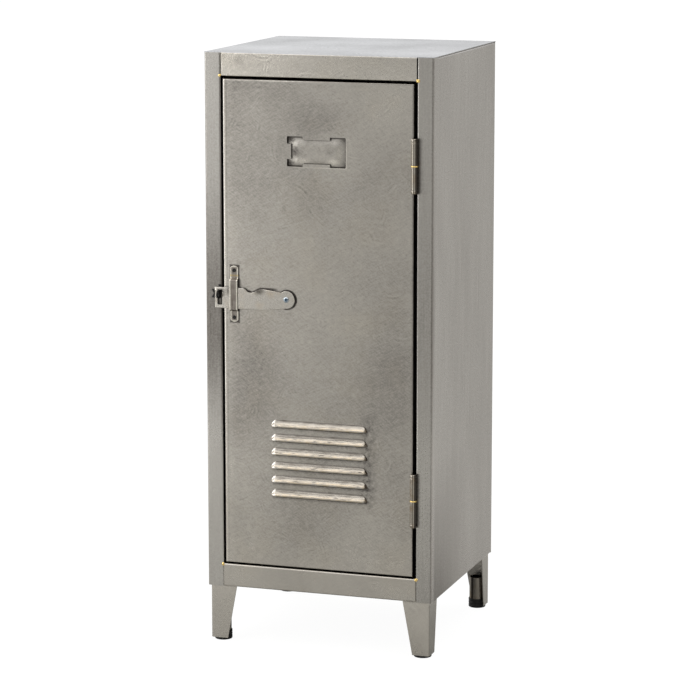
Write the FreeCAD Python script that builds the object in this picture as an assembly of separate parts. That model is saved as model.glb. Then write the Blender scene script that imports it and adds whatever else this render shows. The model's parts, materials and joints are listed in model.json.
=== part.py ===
"""Steel side locker: welded sheet cabinet on four angle legs, one hinged door, lift-lever latch.

Millimetres. X runs to the right, Y runs back and Z runs up. The model is built with the front
face of the posts on y = 0 and the floor on z = 0, and each piece is then moved so that the
origin is the middle of the bottom of the whole part.
"""
import FreeCAD, Part
import math
import os

os.makedirs("parts", exist_ok=True)

Vector = FreeCAD.Vector

# ---------------------------------------------------------------- driving dimensions
# cabinet
body_width = 350.0
body_depth = 325.0
body_height = 800.0
underside_height = 85.0        # floor to the underside of the cabinet
sheet = 1.2                    # steel sheet of the cabinet and legs
bend_inside = 1.3              # inside radius of every bend of the cabinet and door
post_width = 25.0              # front posts, one bent sheet with the side panels
rail_height = 35.0             # front rails above and below the door
post_return = 18.3             # depth of the posts' inner return, where the door stop starts
stop_width = 8.0               # door stop flange along both posts
rail_return = 12.0             # returns on the free edges of the rails
top_rail_slit = 0.9            # open slit between the top rail's ends and the posts
low_rail_slit = 0.2
rear_flange = 15.0             # side panels' flange behind the back panel
top_flange = 12.0              # side panels' flange under the top panel
floor_flange = 16.0            # floor panel's side flanges
hem_height = 12.0              # open hem along the side panels' lower edge
hem_gap = 1.3

# shelf
shelf_rise = 465.0             # cabinet floor to the shelf's top face
shelf_lip = 20.0               # front and rear lips, bent down
shelf_front_gap = 4.0          # behind the door stops
shelf_side_gap = 1.3
bracket_height = 18.0
bracket_ledge = 15.0
bracket_inset = 16.0           # bracket ends, from the shelf's front and rear

# legs
leg_top_front = 41.5           # width of the front face at the cabinet's underside
leg_top_side = 38.5
leg_foot_front = 26.5          # width of the front face at the foot
leg_foot_side = 26.8
leg_lift = 4.0                 # floor to the leg sheet
leg_bend_inside = 2.6          # the legs' corner is bent more softly than the cabinet's
tube_radius = 12.0
tube_wall = 1.5
tube_top = 48.0
foot_wider = 1.2               # rubber foot's radius over the tube's
foot_height = 14.0
weld_height = 8.0
weld_drop = 4.0                # top of the weld beads, below the tube's top

# door
door_gap_left = 3.0
door_gap_right = 5.0
door_gap_top = 3.5
door_gap_bottom = 2.5
door_depth = 18.0
door_sheet = 1.2
door_return = 10.0             # inward returns behind the side flanges

# card pocket, pressed into the door
pocket_width = 90.0
pocket_height = 44.0
pocket_drop = 81.0             # door's top edge to the pocket's top edge
pocket_offset = -1.5           # pocket's middle from the door's middle
pocket_depth = 3.0             # door's face to the deepest part, along the four sides
pocket_slot = 0.6              # room behind the tabs for the card
pocket_slope = 13.0            # width of the slopes that rise to the pocket's raised middle
pocket_corner = 1.5
tab_span = 42.0                # top and bottom tabs
tab_reach = 4.5
side_tab_span = 22.5           # tab at the pocket's left end
side_tab_reach = 6.5

# louvres, pressed out of the door
louvre_count = 6
louvre_pitch = 20.9
louvre_length = 146.0
louvre_offset = 2.0            # louvres' middle from the door's middle
louvre_rise = 108.0            # door's lower edge to the lowest lip
louvre_height = 10.5
louvre_reach = 6.0
louvre_slope = 45.0            # steepest tilt of the hood, in degrees from upright
louvre_crown = 3.6             # radius over the lip
louvre_blend = 5.5             # radius where the hood leaves the door's face
louvre_root = 0.5              # flat above that radius
louvre_sheet = 1.0             # the sheet thins where it is pressed
louvre_gap = 2.5               # height of the open strip in the sheet below the lip

# hinges
hinge_radius = 5.25
hinge_length = 80.0
hinge_from_top = 121.0         # opening's top to the upper hinge's middle
hinge_from_bottom = 118.0
hinge_weld_gap = 0.3           # barrel to the rounded sheet edge, filled by the weld
pin_radius = 3.0
pin_inset = 4.0                # blind ends of the pin's bores
pin_play = 0.05
ring_height = 2.4              # brass ring between the two barrels

# latch
latch_rise = 405.2             # opening's lower edge to the lever's pivot
latch_inset = 101.8            # opening's left edge to the lever's pivot
lever_head = 13.0
lever_sheet = 2.3
lever_above = 14.0             # lever's top edge over the pivot
lever_below = 17.0             # lever's lower edge under the pivot
lever_rub = 0.05               # running gap on both sides of the lever
lever_edge = 0.5
thumb_near = 36.0              # thumb dip in the top edge: pivot to its near end
thumb_low = 57.0               # pivot to its lowest point
thumb_far = 68.0
thumb_depth = 6.0
slot_width = 7.5
slot_bar_end = 4.0             # metal between the slot and the lever's free end
slot_bar_top = 3.3
slot_bar_bottom = 5.0
spacer_height = 1.6
spacer_radius = 6.5
pivot_radius = 2.5
pivot_head = 4.2
pivot_head_height = 1.5

# strap over the lever
strap_width = 12.5
strap_inset = 20.0             # opening's left edge to the strap's middle
strap_sheet = 1.4
strap_bend = 0.8
strap_gap = 0.3                # strap to the lever
strap_low_foot = 16.0
strap_high_foot = 18.5
strap_joggle = 2.5             # height of the slanted run between foot and bridge
strap_lift = 10.0              # travel of the lever inside the strap
strap_end_arc = 3.5            # height of the arc that rounds each foot
strap_rivet_inset = 7.0
rivet_radius = 1.6
rivet_head = 2.9
rivet_head_height = 1.1
head_taper = 0.6               # crown of a rivet's head, as a share of its radius

# padlock staple on the left post
staple_sheet = 2.0
staple_base_sheet = 1.2
staple_nose = 6.0              # radius of the nose and half the plate's height
staple_eye = 3.0
staple_eye_reach = 10.5        # post's face to the middle of the eye
staple_edge_inset = 2.0        # opening's left edge to the middle of the plate
staple_rise = 4.3              # lever's pivot to the middle of the eye
staple_slack = 0.8             # plate to the slot's upper end
fishtail_length = 15.0
fishtail_notch = 3.5
fishtail_half = 6.5
fishtail_rise = 7.5            # part of the base plate that stands above the lever

# brazed corners of the door opening
braze_radius = 2.6
braze_crown = 1.5              # radius of the flat top
braze_height = 0.7
braze_sides = 8
braze_shift = 1.0              # out of the corner, onto the post and the rail

# ---------------------------------------------------------------- derived dimensions
bend_outside = bend_inside + sheet
half_width = body_width / 2
inner_half = half_width - sheet
opening_half = half_width - post_width
body_top = underside_height + body_height
top_underside = body_top - sheet
opening_bottom = underside_height + rail_height
opening_top = body_top - rail_height
top_rail_half = opening_half - top_rail_slit
low_rail_half = opening_half - low_rail_slit
floor_underside = opening_bottom - sheet
stop_back = post_return + sheet
back_front = body_depth - 2 * sheet

leg_outside = inner_half - hem_gap - sheet          # x of the legs' outer face
leg_front = sheet                                   # y of the front legs' front face
leg_inside = leg_outside - sheet
leg_top = floor_underside - bend_inside             # just under the bend of the floor panel
foot_radius = tube_radius + foot_wider
foot_x = leg_inside - foot_radius
foot_y = leg_front + sheet + foot_radius

door_left = -opening_half + door_gap_left
door_right = opening_half - door_gap_right
door_bottom = opening_bottom + door_gap_bottom
door_top = opening_top - door_gap_top
door_middle = (door_left + door_right) / 2

hinge_x = (door_right + opening_half) / 2
hinge_offset = opening_half + bend_outside - hinge_x
hinge_y = bend_outside - math.sqrt((hinge_radius + bend_outside + hinge_weld_gap) ** 2 - hinge_offset ** 2)

pivot_x = -opening_half + latch_inset
pivot_z = opening_bottom + latch_rise
lever_back = -spacer_height - lever_rub
lever_front = lever_back - lever_sheet
lever_top = pivot_z + lever_above
lever_bottom = pivot_z - lever_below
staple_x = -opening_half - staple_edge_inset
slot_left = staple_x - slot_width / 2
lever_length = pivot_x - slot_left + slot_bar_end
slot_top = lever_top - slot_bar_top
slot_bottom = lever_bottom + slot_bar_bottom

strap_x = -opening_half + strap_inset
strap_back = lever_front - strap_gap
strap_front = strap_back - strap_sheet
bridge_bottom = lever_bottom - strap_gap - strap_sheet
bridge_top = lever_top + strap_lift + strap_gap + strap_sheet
strap_bottom = bridge_bottom - strap_joggle - strap_low_foot
strap_top = bridge_top + strap_joggle + strap_high_foot

staple_z = min(pivot_z + staple_rise, slot_top - staple_slack - staple_nose)
staple_reach = staple_eye_reach + staple_nose

origin_y = (body_depth - staple_reach) / 2


# ---------------------------------------------------------------- shared geometry
def in_xy(u, v, w):
    return Vector(u, v, w)


def in_yz(u, v, w):
    return Vector(w, u, v)


def in_xz(u, v, w):
    return Vector(u, w, v)


def block(x_limits, y_limits, z_limits):
    """Box between three pairs of limits."""
    size = [high - low for low, high in (x_limits, y_limits, z_limits)]
    return Part.makeBox(*size, Vector(x_limits[0], y_limits[0], z_limits[0]))


def extruded(edges, plane, start, end):
    """Solid of a closed outline, drawn in a plane at start and pulled to end."""
    face = Part.Face(Part.Wire(Part.__sortEdges__(edges)))
    return face.extrude(plane(0, 0, end) - plane(0, 0, start))


def prism(points, plane, start, end):
    """Solid of a polygon, given as (u, v) points of a plane."""
    corners = [plane(u, v, start) for u, v in points]
    return extruded(Part.makePolygon(corners + corners[:1]).Edges, plane, start, end)


def cylinder(radius, plane, centre, start, end):
    """Cylinder across a plane, from start to end."""
    along = plane(0, 0, 1)
    return Part.makeCylinder(radius, end - start, plane(*centre, start), along)


def bend_line(points, left_radius, right_radius, shift, plane, level):
    """Straight runs joined by tangent arcs, moved sideways to the left of travel by shift."""
    points = [Vector(u, v, 0) for u, v in points]
    up = Vector(0, 0, 1)
    ends = []
    arcs = []
    for before, corner, after in zip(points, points[1:], points[2:]):
        arriving = (corner - before).normalize()
        leaving = (after - corner).normalize()
        side = 1 if arriving.cross(leaving).z > 0 else -1
        radius = left_radius if side > 0 else right_radius
        setback = radius * math.tan(arriving.getAngle(leaving) / 2)
        start = corner - arriving * setback
        finish = corner + leaving * setback
        centre = start + up.cross(arriving) * radius * side
        scale = (radius - side * shift) / radius
        middle = (corner - centre).normalize() * radius
        arcs.append([centre + arm * scale for arm in (start - centre, middle, finish - centre)])
    first_side = up.cross((points[1] - points[0]).normalize()) * shift
    last_side = up.cross((points[-1] - points[-2]).normalize()) * shift
    ends = [points[0] + first_side, points[-1] + last_side]

    def placed(point):
        return plane(point.x, point.y, level)

    edges = []
    here = ends[0]
    for start, middle, finish in arcs:
        edges.append(Part.makeLine(placed(here), placed(start)))
        edges.append(Part.Arc(placed(start), placed(middle), placed(finish)).toShape())
        here = finish
    edges.append(Part.makeLine(placed(here), placed(ends[1])))
    return edges, placed(ends[0]), placed(ends[1])


def bent_sheet(points, plane, start, end, thickness=sheet, inside=bend_inside):
    """Folded sheet: points follow its outer face, and the metal lies to the left of travel."""
    outer, outer_start, outer_end = bend_line(points, inside + thickness, inside, 0, plane, start)
    inner, inner_start, inner_end = bend_line(points, inside + thickness, inside, thickness, plane, start)
    caps = [Part.makeLine(outer_start, inner_start), Part.makeLine(outer_end, inner_end)]
    return extruded(outer + inner + caps, plane, start, end)


def mirrored_x(shape):
    return shape.mirror(Vector(0, 0, 0), Vector(1, 0, 0))


def mirrored_y(shape, middle):
    return shape.mirror(Vector(0, middle, 0), Vector(0, 1, 0))


def fused(first, *others):
    return first.fuse(list(others)).removeSplitter()


# ---------------------------------------------------------------- cabinet
def side_panel():
    """Right side: front post with door stop, wall and rear flange in one bent sheet."""
    wall_top = top_underside - top_flange
    hem_top = underside_height + hem_height
    flange_y = (stop_back + bend_outside, back_front - bend_outside)
    beyond = half_width + 1
    panel = bent_sheet(
        [(opening_half - stop_width, post_return), (opening_half, post_return), (opening_half, 0),
         (half_width, 0), (half_width, body_depth), (half_width - rear_flange, body_depth)],
        in_xy, underside_height, top_underside)

    # the door stop and the post's return end at the floor, where the legs sit behind the post
    return_x = (opening_half - stop_width - 1, opening_half + sheet + bend_inside)
    below_floor = (underside_height - 1, opening_bottom)
    panel = panel.cut(block(return_x, (sheet, stop_back + 1), below_floor))
    panel = panel.cut(block(return_x, (post_return - 1, stop_back + 1), (opening_top, body_top)))

    # the wall's upper edge folds in under the top panel, the lower edge folds up as an open hem
    hem_half = (hem_gap / 2 + sheet)
    wall_cut = (inner_half - 1, beyond)
    panel = panel.cut(block(wall_cut, flange_y, (wall_top, body_top)))
    panel = panel.cut(block(wall_cut, flange_y, (underside_height - 1, underside_height + hem_half)))
    flange = bent_sheet([(half_width, wall_top), (half_width, top_underside),
                         (half_width - top_flange, top_underside)],
                        in_xz, *flange_y)
    hem_centre = (half_width - hem_half, underside_height + hem_half)
    roll = cylinder(hem_half, in_xz, hem_centre, *flange_y)
    roll = roll.cut(cylinder(hem_gap / 2, in_xz, hem_centre, *flange_y))
    roll = roll.cut(block((half_width - 2 * hem_half - 1, beyond), flange_y,
                          (hem_centre[1], hem_centre[1] + hem_half + 1)))
    hem = block((leg_outside, leg_outside + sheet), flange_y, (hem_centre[1], hem_top))
    return fused(panel, flange, roll, hem)


def rail_sheet(rail_top, rail_bottom, half):
    """Level sheet whose front edge folds down as a rail between the posts, with a return."""
    points = [(body_depth / 2, rail_top), (0, rail_top), (0, rail_bottom), (rail_return, rail_bottom)]
    return bent_sheet(points, in_yz, -half, half)


def top_panel():
    lid = block((-half_width, half_width), (0, body_depth), (top_underside, body_top))
    lid = lid.cut(block((-top_rail_half, top_rail_half), (-1, bend_outside),
                        (top_underside - 1, body_top + 1)))
    return fused(lid, rail_sheet(body_top, opening_top, top_rail_half))


def floor_panel():
    rail = rail_sheet(opening_bottom, underside_height, low_rail_half)
    # the rail's return leaves room for the legs' front faces
    for side in (-1, 1):
        limits = sorted((side * (leg_outside - leg_top_front - 1), side * half_width))
        rail = rail.cut(block(limits, (sheet, rail_return + 1),
                              (underside_height - 1, underside_height + bend_outside)))
    flange_bottom = opening_bottom - floor_flange
    floor = bent_sheet([(inner_half, flange_bottom), (inner_half, opening_bottom),
                        (-inner_half, opening_bottom), (-inner_half, flange_bottom)],
                       in_xz, stop_back + bend_inside, back_front)
    return fused(rail, floor)


def back_panel():
    half = inner_half - bend_inside
    return block((-half, half), (back_front, back_front + sheet), (underside_height, top_underside))


shelf_top = opening_bottom + shelf_rise
shelf_front = stop_back + shelf_front_gap
shelf_back = back_front - shelf_front_gap


def shelf():
    """Loose tray that rests on its two brackets, lips bent down at the front and back."""
    lip_bottom = shelf_top - shelf_lip
    return bent_sheet([(shelf_back, lip_bottom), (shelf_back, shelf_top),
                       (shelf_front, shelf_top), (shelf_front, lip_bottom)],
                      in_yz, -inner_half + shelf_side_gap, inner_half - shelf_side_gap)


def shelf_bracket():
    """Right-hand angle welded to the side wall."""
    ledge = shelf_top - sheet
    return bent_sheet([(inner_half, ledge - bracket_height), (inner_half, ledge),
                       (inner_half - bracket_ledge, ledge)],
                      in_xz, shelf_front + bracket_inset, shelf_back - bracket_inset)


def leg():
    """Front right leg: a tapering angle, its top welded behind the post and the rail."""
    far_x = leg_outside - leg_top_front
    far_y = leg_front + leg_top_side
    angle = bent_sheet([(far_x, leg_front), (leg_outside, leg_front), (leg_outside, far_y)],
                       in_xy, leg_lift, leg_top, sheet, leg_bend_inside)
    front_view = prism([(leg_outside, leg_lift), (leg_outside - leg_foot_front, leg_lift),
                        (far_x, underside_height), (far_x, leg_top),
                        (leg_outside, leg_top)], in_xz, leg_front, far_y)
    side_view = prism([(leg_front, leg_lift), (leg_front + leg_foot_side, leg_lift),
                       (far_y, underside_height), (far_y, leg_top),
                       (leg_front, leg_top)], in_yz, far_x, leg_outside)
    return angle.common(front_view).common(side_view)


def leg_tube():
    """Steel tube that carries the foot, with a weld bead to each face of the leg."""
    centre = (foot_x, foot_y)
    tube = cylinder(tube_radius, in_xy, centre, foot_height, tube_top)
    bore = cylinder(tube_radius - tube_wall, in_xy, centre, foot_height - 1, tube_top + 1)
    bead_z = (tube_top - weld_drop - weld_height, tube_top - weld_drop)
    side_bead = block((foot_x, leg_inside), (foot_y - foot_wider, foot_y + foot_wider), bead_z)
    front_bead = block((foot_x - foot_wider, foot_x + foot_wider), (leg_front + sheet, foot_y), bead_z)
    return fused(tube, side_bead, front_bead).cut(bore)


def rubber_foot():
    """Solid rubber foot, a little wider than the tube that stands on it."""
    return cylinder(foot_radius, in_xy, (foot_x, foot_y), 0, foot_height)


def corner_brazes():
    """Low brass spots where the posts and rails meet at the corners of the opening."""
    def ring(centre, radius, level):
        turns = [2 * math.pi * (index + 0.5) / braze_sides for index in range(braze_sides)]
        corners = [Vector(centre[0] + radius * math.cos(turn), level, centre[1] + radius * math.sin(turn))
                   for turn in turns]
        return Part.makePolygon(corners + corners[:1])

    spots = []
    for x, z, outward in ((-opening_half, opening_top, 1), (opening_half, opening_top, 1),
                          (-opening_half, opening_bottom, -1), (opening_half, opening_bottom, -1)):
        centre = (x + math.copysign(braze_shift, x), z + outward * braze_shift)
        spots.append(Part.makeLoft([ring(centre, braze_radius, 0), ring(centre, braze_crown, -braze_height)],
                                   True, True))
    return Part.makeCompound(spots)


def staple_base():
    """Fishtail plate on the left post that carries the staple; its ear stands up behind the lever."""
    right = staple_x + staple_sheet / 2
    left = right - fishtail_length
    low = staple_z - fishtail_half
    high = staple_z + fishtail_half
    ear = lever_top + fishtail_rise / 2
    return prism([(right, low), (left, low), (left + fishtail_notch, staple_z), (left, high),
                  (right - staple_sheet * 2, high), (right - staple_sheet * 2, ear), (right, ear)],
                 in_xz, -staple_base_sheet, 0)


def padlock_staple():
    """Eye plate that stands through the lever's slot, welded upright on its base."""
    plate_x = (staple_x - staple_sheet / 2, staple_x + staple_sheet / 2)
    plate = block(plate_x, (-staple_eye_reach, -staple_base_sheet),
                  (staple_z - staple_nose, staple_z + staple_nose))
    eye_centre = (-staple_eye_reach, staple_z)
    nose = cylinder(staple_nose, in_yz, eye_centre, *plate_x)
    eye = cylinder(staple_eye, in_yz, eye_centre, plate_x[0] - 1, plate_x[1] + 1)
    return fused(plate, nose).cut(eye)


# ---------------------------------------------------------------- hinges
def hinge(middle):
    """Frame barrel below, door barrel above, brass ring between them and the fixed pin."""
    ring = (middle - ring_height / 2, middle + ring_height / 2)
    low = middle - hinge_length / 2
    high = middle + hinge_length / 2
    centre = (hinge_x, hinge_y)
    pin_z = (low + pin_inset, high - pin_inset)
    pin = cylinder(pin_radius, in_xy, centre, *pin_z)
    running_bore = cylinder(pin_radius + pin_play, in_xy, centre, pin_z[0], pin_z[1] + pin_play)
    return {
        "frame_barrel": cylinder(hinge_radius, in_xy, centre, low, ring[0]).cut(pin),
        "door_barrel": cylinder(hinge_radius, in_xy, centre, ring[1], high).cut(running_bore),
        "ring": cylinder(hinge_radius, in_xy, centre, *ring).cut(pin),
        "pin": pin,
    }


# ---------------------------------------------------------------- door
def louvre(lip, shrink):
    """Outer form of one louvre or, shrunk by its sheet, the hollow that opens down at its lip."""
    middle = door_middle + louvre_offset
    left = middle - louvre_length / 2 + shrink
    right = middle + louvre_length / 2 - shrink
    reach = louvre_reach - shrink
    top = lip + louvre_height

    # side view: the hood leaves the face in a hollow curve and rounds over to stand upright at the lip
    slope = math.radians(louvre_slope)
    fold = top - louvre_root - louvre_blend * math.tan(slope / 2)
    hood_line, hood_top, lip_edge = bend_line(
        [(0, top), (0, fold), (-louvre_reach, fold - louvre_reach / math.tan(slope)), (-louvre_reach, lip)],
        louvre_crown, louvre_blend, shrink, in_yz, left)
    low_root = Vector(left, door_sheet, lip)
    high_root = Vector(left, door_sheet, top)
    side_view = hood_line + [Part.makeLine(lip_edge, low_root), Part.makeLine(low_root, high_root),
                             Part.makeLine(high_root, hood_top)]
    hood = extruded(side_view, in_yz, left, right)

    # seen from above: both ends are quarter circles
    def plan(x, y):
        return Vector(x, y, lip)

    rise = reach * math.sin(math.pi / 4)
    inset = reach - reach * math.cos(math.pi / 4)
    top_view = [
        Part.makeLine(plan(left, door_sheet), plan(left, 0)),
        Part.Arc(plan(left, 0), plan(left + inset, -rise), plan(left + reach, -reach)).toShape(),
        Part.makeLine(plan(left + reach, -reach), plan(right - reach, -reach)),
        Part.Arc(plan(right - reach, -reach), plan(right - inset, -rise), plan(right, 0)).toShape(),
        Part.makeLine(plan(right, 0), plan(right, door_sheet)),
        Part.makeLine(plan(right, door_sheet), plan(left, door_sheet)),
    ]
    return hood.common(extruded(top_view, in_xy, lip, top + 1))


def louvre_strip(lip):
    """Strip of the door's sheet that is open below a lip."""
    middle = door_middle + louvre_offset
    half = louvre_length / 2 - louvre_reach
    return block((middle - half, middle + half), (-1, door_sheet + 1), (lip - louvre_gap, lip))


def rounded_pan(shrink):
    """Door blank, or its hollow, with its four front edges rounded by the bend."""
    blank = block((door_left + shrink, door_right - shrink), (shrink, door_depth + shrink),
                  (door_bottom + shrink, door_top - shrink))
    front_edges = [edge for edge in blank.Edges
                   if all(abs(vertex.Point.y - shrink) < 1e-6 for vertex in edge.Vertexes)]
    return blank.makeFillet(bend_outside - shrink, front_edges)


def card_pocket():
    """Pressing for the name card: its tray, the recess that forms it, the raised middle and the tabs."""
    middle = door_middle + pocket_offset
    top = door_top - pocket_drop
    recess_x = (middle - pocket_width / 2, middle + pocket_width / 2)
    recess_z = (top - pocket_height, top)
    recess = block(recess_x, (-1, pocket_depth), recess_z)
    corners = [edge for edge in recess.Edges
               if abs(edge.Vertexes[0].Point.y - edge.Vertexes[1].Point.y) > door_sheet]
    recess = recess.makeFillet(pocket_corner, corners)
    tray = block((recess_x[0] - door_sheet, recess_x[1] + door_sheet), (0, pocket_depth + door_sheet),
                 (recess_z[0] - door_sheet, recess_z[1] + door_sheet))

    def frame(inset, level):
        left, right = recess_x[0] + inset, recess_x[1] - inset
        low, high = recess_z[0] + inset, recess_z[1] - inset
        return Part.makePolygon([Vector(x, level, z) for x, z in
                                 ((left, low), (right, low), (right, high), (left, high), (left, low))])

    slopes = [frame(0, pocket_depth), frame(pocket_slope, door_sheet + pocket_slot)]
    raised = Part.makeLoft(slopes, True, True).common(recess)
    centre_z = top - pocket_height / 2
    tab_x = (middle - tab_span / 2, middle + tab_span / 2)
    tabs = [
        block(tab_x, (0, door_sheet), (top - tab_reach, top)),
        block(tab_x, (0, door_sheet), (recess_z[0], recess_z[0] + tab_reach)),
        block((recess_x[0], recess_x[0] + side_tab_reach), (0, door_sheet),
              (centre_z - side_tab_span / 2, centre_z + side_tab_span / 2)),
    ]
    return tray, recess, [raised] + tabs


def door_panel():
    pan = rounded_pan(0).cut(rounded_pan(door_sheet))
    return_y = (door_depth - door_sheet, door_depth)
    inner_z = (door_bottom + door_sheet, door_top - door_sheet)
    returns = [block((door_left, door_left + door_return), return_y, inner_z),
               block((door_right - door_return, door_right), return_y, inner_z)]
    tray, recess, inserts = card_pocket()
    lips = [door_bottom + louvre_rise + index * louvre_pitch for index in range(louvre_count)]
    panel = fused(pan, tray, *returns, *[louvre(lip, 0) for lip in lips])
    panel = panel.cut([recess] + [louvre(lip, louvre_sheet) for lip in lips])
    panel = panel.cut([louvre_strip(lip) for lip in lips])
    panel = fused(panel, *inserts)

    shanks = [cylinder(rivet_radius, in_xz, (strap_x, z), -1, door_sheet + 1) for z in strap_rivet_heights()]
    shanks.append(cylinder(pivot_radius, in_xz, (pivot_x, pivot_z), -1, door_sheet + 1))
    return panel.cut(shanks)


# ---------------------------------------------------------------- latch
def strap_rivet_heights():
    return (strap_bottom + strap_rivet_inset, strap_top - strap_rivet_inset)


def latch_strap():
    """Bridge that guides the lever: two riveted feet and a raised middle."""
    half = strap_width / 2
    foot_front = -strap_sheet
    strip = bent_sheet(
        [(foot_front, strap_top), (foot_front, bridge_top + strap_joggle), (strap_front, bridge_top),
         (strap_front, bridge_bottom), (foot_front, bridge_bottom - strap_joggle), (foot_front, strap_bottom)],
        in_yz, strap_x - half, strap_x + half, strap_sheet, strap_bend)

    def at(x, z):
        return Vector(strap_x + x, strap_front - 1, z)

    high = strap_top - strap_end_arc
    low = strap_bottom + strap_end_arc
    outline = [
        Part.Arc(at(-half, high), at(0, strap_top), at(half, high)).toShape(),
        Part.makeLine(at(half, high), at(half, low)),
        Part.Arc(at(half, low), at(0, strap_bottom), at(-half, low)).toShape(),
        Part.makeLine(at(-half, low), at(-half, high)),
    ]
    strip = strip.common(extruded(outline, in_xz, strap_front - 1, 1))
    return strip.cut([cylinder(rivet_radius, in_xz, (strap_x, z), -strap_sheet - 1, 1)
                      for z in strap_rivet_heights()])


def rivet(x, z, shank, head, head_height, face, back):
    """Rivet across the door: low head on the face at y = face, its clenched end behind y = back."""
    crown = Part.makeCone(head, head * head_taper, head_height, Vector(x, face, z), Vector(0, -1, 0))
    return fused(crown, cylinder(shank, in_xz, (x, z), face, back + head_height / 2))


def strap_rivets():
    return Part.makeCompound([rivet(strap_x, z, rivet_radius, rivet_head, rivet_head_height,
                                    -strap_sheet, door_sheet) for z in strap_rivet_heights()])


def latch_pivot():
    return rivet(pivot_x, pivot_z, pivot_radius, pivot_head, pivot_head_height,
                 lever_front - lever_rub, door_sheet)


def latch_spacer():
    ring = cylinder(spacer_radius, in_xz, (pivot_x, pivot_z), -spacer_height, 0)
    return ring.cut(cylinder(pivot_radius, in_xz, (pivot_x, pivot_z), -spacer_height - 1, 1))


def latch_lever():
    """Flat lever: round head on the pivot, thumb dip in the top edge, slot for the staple."""
    def at(x, z):
        return Vector(pivot_x + x, lever_front, pivot_z + z)

    head_left = -lever_head * math.sin(math.radians(38))
    head_height = lever_head * math.cos(math.radians(38))
    dip_floor = lever_above - thumb_depth

    def easing(near, far, near_height, far_height):
        halfway = -(near + far) / 2
        curve = Part.BezierCurve()
        curve.setPoles([at(-far, far_height), at(halfway, far_height), at(halfway, near_height),
                        at(-near, near_height)])
        return curve.toShape()

    outline = [
        Part.makeLine(at(-lever_length, lever_above), at(-thumb_far, lever_above)),
        easing(thumb_low, thumb_far, dip_floor, lever_above),
        easing(thumb_near, thumb_low, lever_above, dip_floor),
        Part.makeLine(at(-thumb_near, lever_above), at(head_left, head_height)),
        Part.Arc(at(head_left, head_height), at(lever_head, 0), at(0, -lever_head)).toShape(),
        Part.makeLine(at(0, -lever_head), at(-thumb_near, -lever_below)),
        Part.makeLine(at(-thumb_near, -lever_below), at(-lever_length, -lever_below)),
        Part.makeLine(at(-lever_length, -lever_below), at(-lever_length, lever_above)),
    ]
    lever = extruded(outline, in_xz, lever_front, lever_back)
    front_rim = [edge for edge in lever.Edges
                 if all(abs(vertex.Point.y - lever_front) < 1e-6 for vertex in edge.Vertexes)]
    lever = lever.makeChamfer(lever_edge, front_rim)
    slot = block((slot_left, slot_left + slot_width), (lever_front - 1, lever_back + 1),
                 (slot_bottom, slot_top))
    bore = cylinder(pivot_radius + pin_play, in_xz, (pivot_x, pivot_z), lever_front - 1, lever_back + 1)
    return lever.cut([slot, bore])


# ---------------------------------------------------------------- assembly
right_side = side_panel()
right_bracket = shelf_bracket()
pieces = {
    "right_side_panel": right_side,
    "left_side_panel": mirrored_x(right_side),
    "top_panel": top_panel(),
    "floor_panel": floor_panel(),
    "back_panel": back_panel(),
    "shelf": shelf(),
    "shelf_bracket_right": right_bracket,
    "shelf_bracket_left": mirrored_x(right_bracket),
    "corner_brazes": corner_brazes(),
    "staple_base": staple_base(),
    "padlock_staple": padlock_staple(),
    "door_panel": door_panel(),
    "latch_strap": latch_strap(),
    "strap_rivets": strap_rivets(),
    "latch_pivot_rivet": latch_pivot(),
    "latch_spacer": latch_spacer(),
    "latch_lever": latch_lever(),
}
for name, front_right in (("leg", leg()), ("leg_tube", leg_tube()), ("rubber_foot", rubber_foot())):
    rear_right = mirrored_y(front_right, (leg_front + back_front) / 2)
    pieces[name + "_front_right"] = front_right
    pieces[name + "_front_left"] = mirrored_x(front_right)
    pieces[name + "_rear_right"] = rear_right
    pieces[name + "_rear_left"] = mirrored_x(rear_right)
for place, middle in (("upper", opening_top - hinge_from_top), ("lower", opening_bottom + hinge_from_bottom)):
    for name, shape in hinge(middle).items():
        pieces["hinge_" + place + "_" + name] = shape

for name, shape in pieces.items():
    shape.translate(Vector(0, -origin_y, 0))
    shape.exportStep("parts/" + name + ".step")
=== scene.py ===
"""Looks of a raw steel side locker: brushed sheet cabinet, sanded door, lift-lever latch."""
import json
import math

import bmesh
import bpy
from mathutils import Matrix, Vector, noise as field


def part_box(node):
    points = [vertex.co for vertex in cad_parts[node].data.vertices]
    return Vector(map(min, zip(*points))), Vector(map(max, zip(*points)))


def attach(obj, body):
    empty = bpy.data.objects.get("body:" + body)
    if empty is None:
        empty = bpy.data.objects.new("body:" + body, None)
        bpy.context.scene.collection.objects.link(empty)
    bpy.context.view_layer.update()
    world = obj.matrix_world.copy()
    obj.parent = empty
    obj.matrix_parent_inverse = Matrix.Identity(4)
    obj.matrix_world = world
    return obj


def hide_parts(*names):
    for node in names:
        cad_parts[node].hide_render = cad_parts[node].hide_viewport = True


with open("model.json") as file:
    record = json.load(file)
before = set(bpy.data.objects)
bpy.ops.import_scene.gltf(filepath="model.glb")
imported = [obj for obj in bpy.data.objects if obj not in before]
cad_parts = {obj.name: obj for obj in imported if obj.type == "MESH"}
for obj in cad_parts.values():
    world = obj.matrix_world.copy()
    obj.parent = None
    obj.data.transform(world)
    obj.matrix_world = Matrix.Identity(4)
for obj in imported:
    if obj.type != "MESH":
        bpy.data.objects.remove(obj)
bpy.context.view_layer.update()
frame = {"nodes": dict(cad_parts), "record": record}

MM = 0.001
cad_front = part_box("door_panel")[0][1] + 6.0 * MM    # the door's face, behind its louvres
MATH, RANGE, XYZ = "ShaderNodeMath", "ShaderNodeMapRange", "ShaderNodeSeparateXYZ"
SOFT = {"interpolation_type": "SMOOTHSTEP"}         # a range that eases in and out

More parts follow.
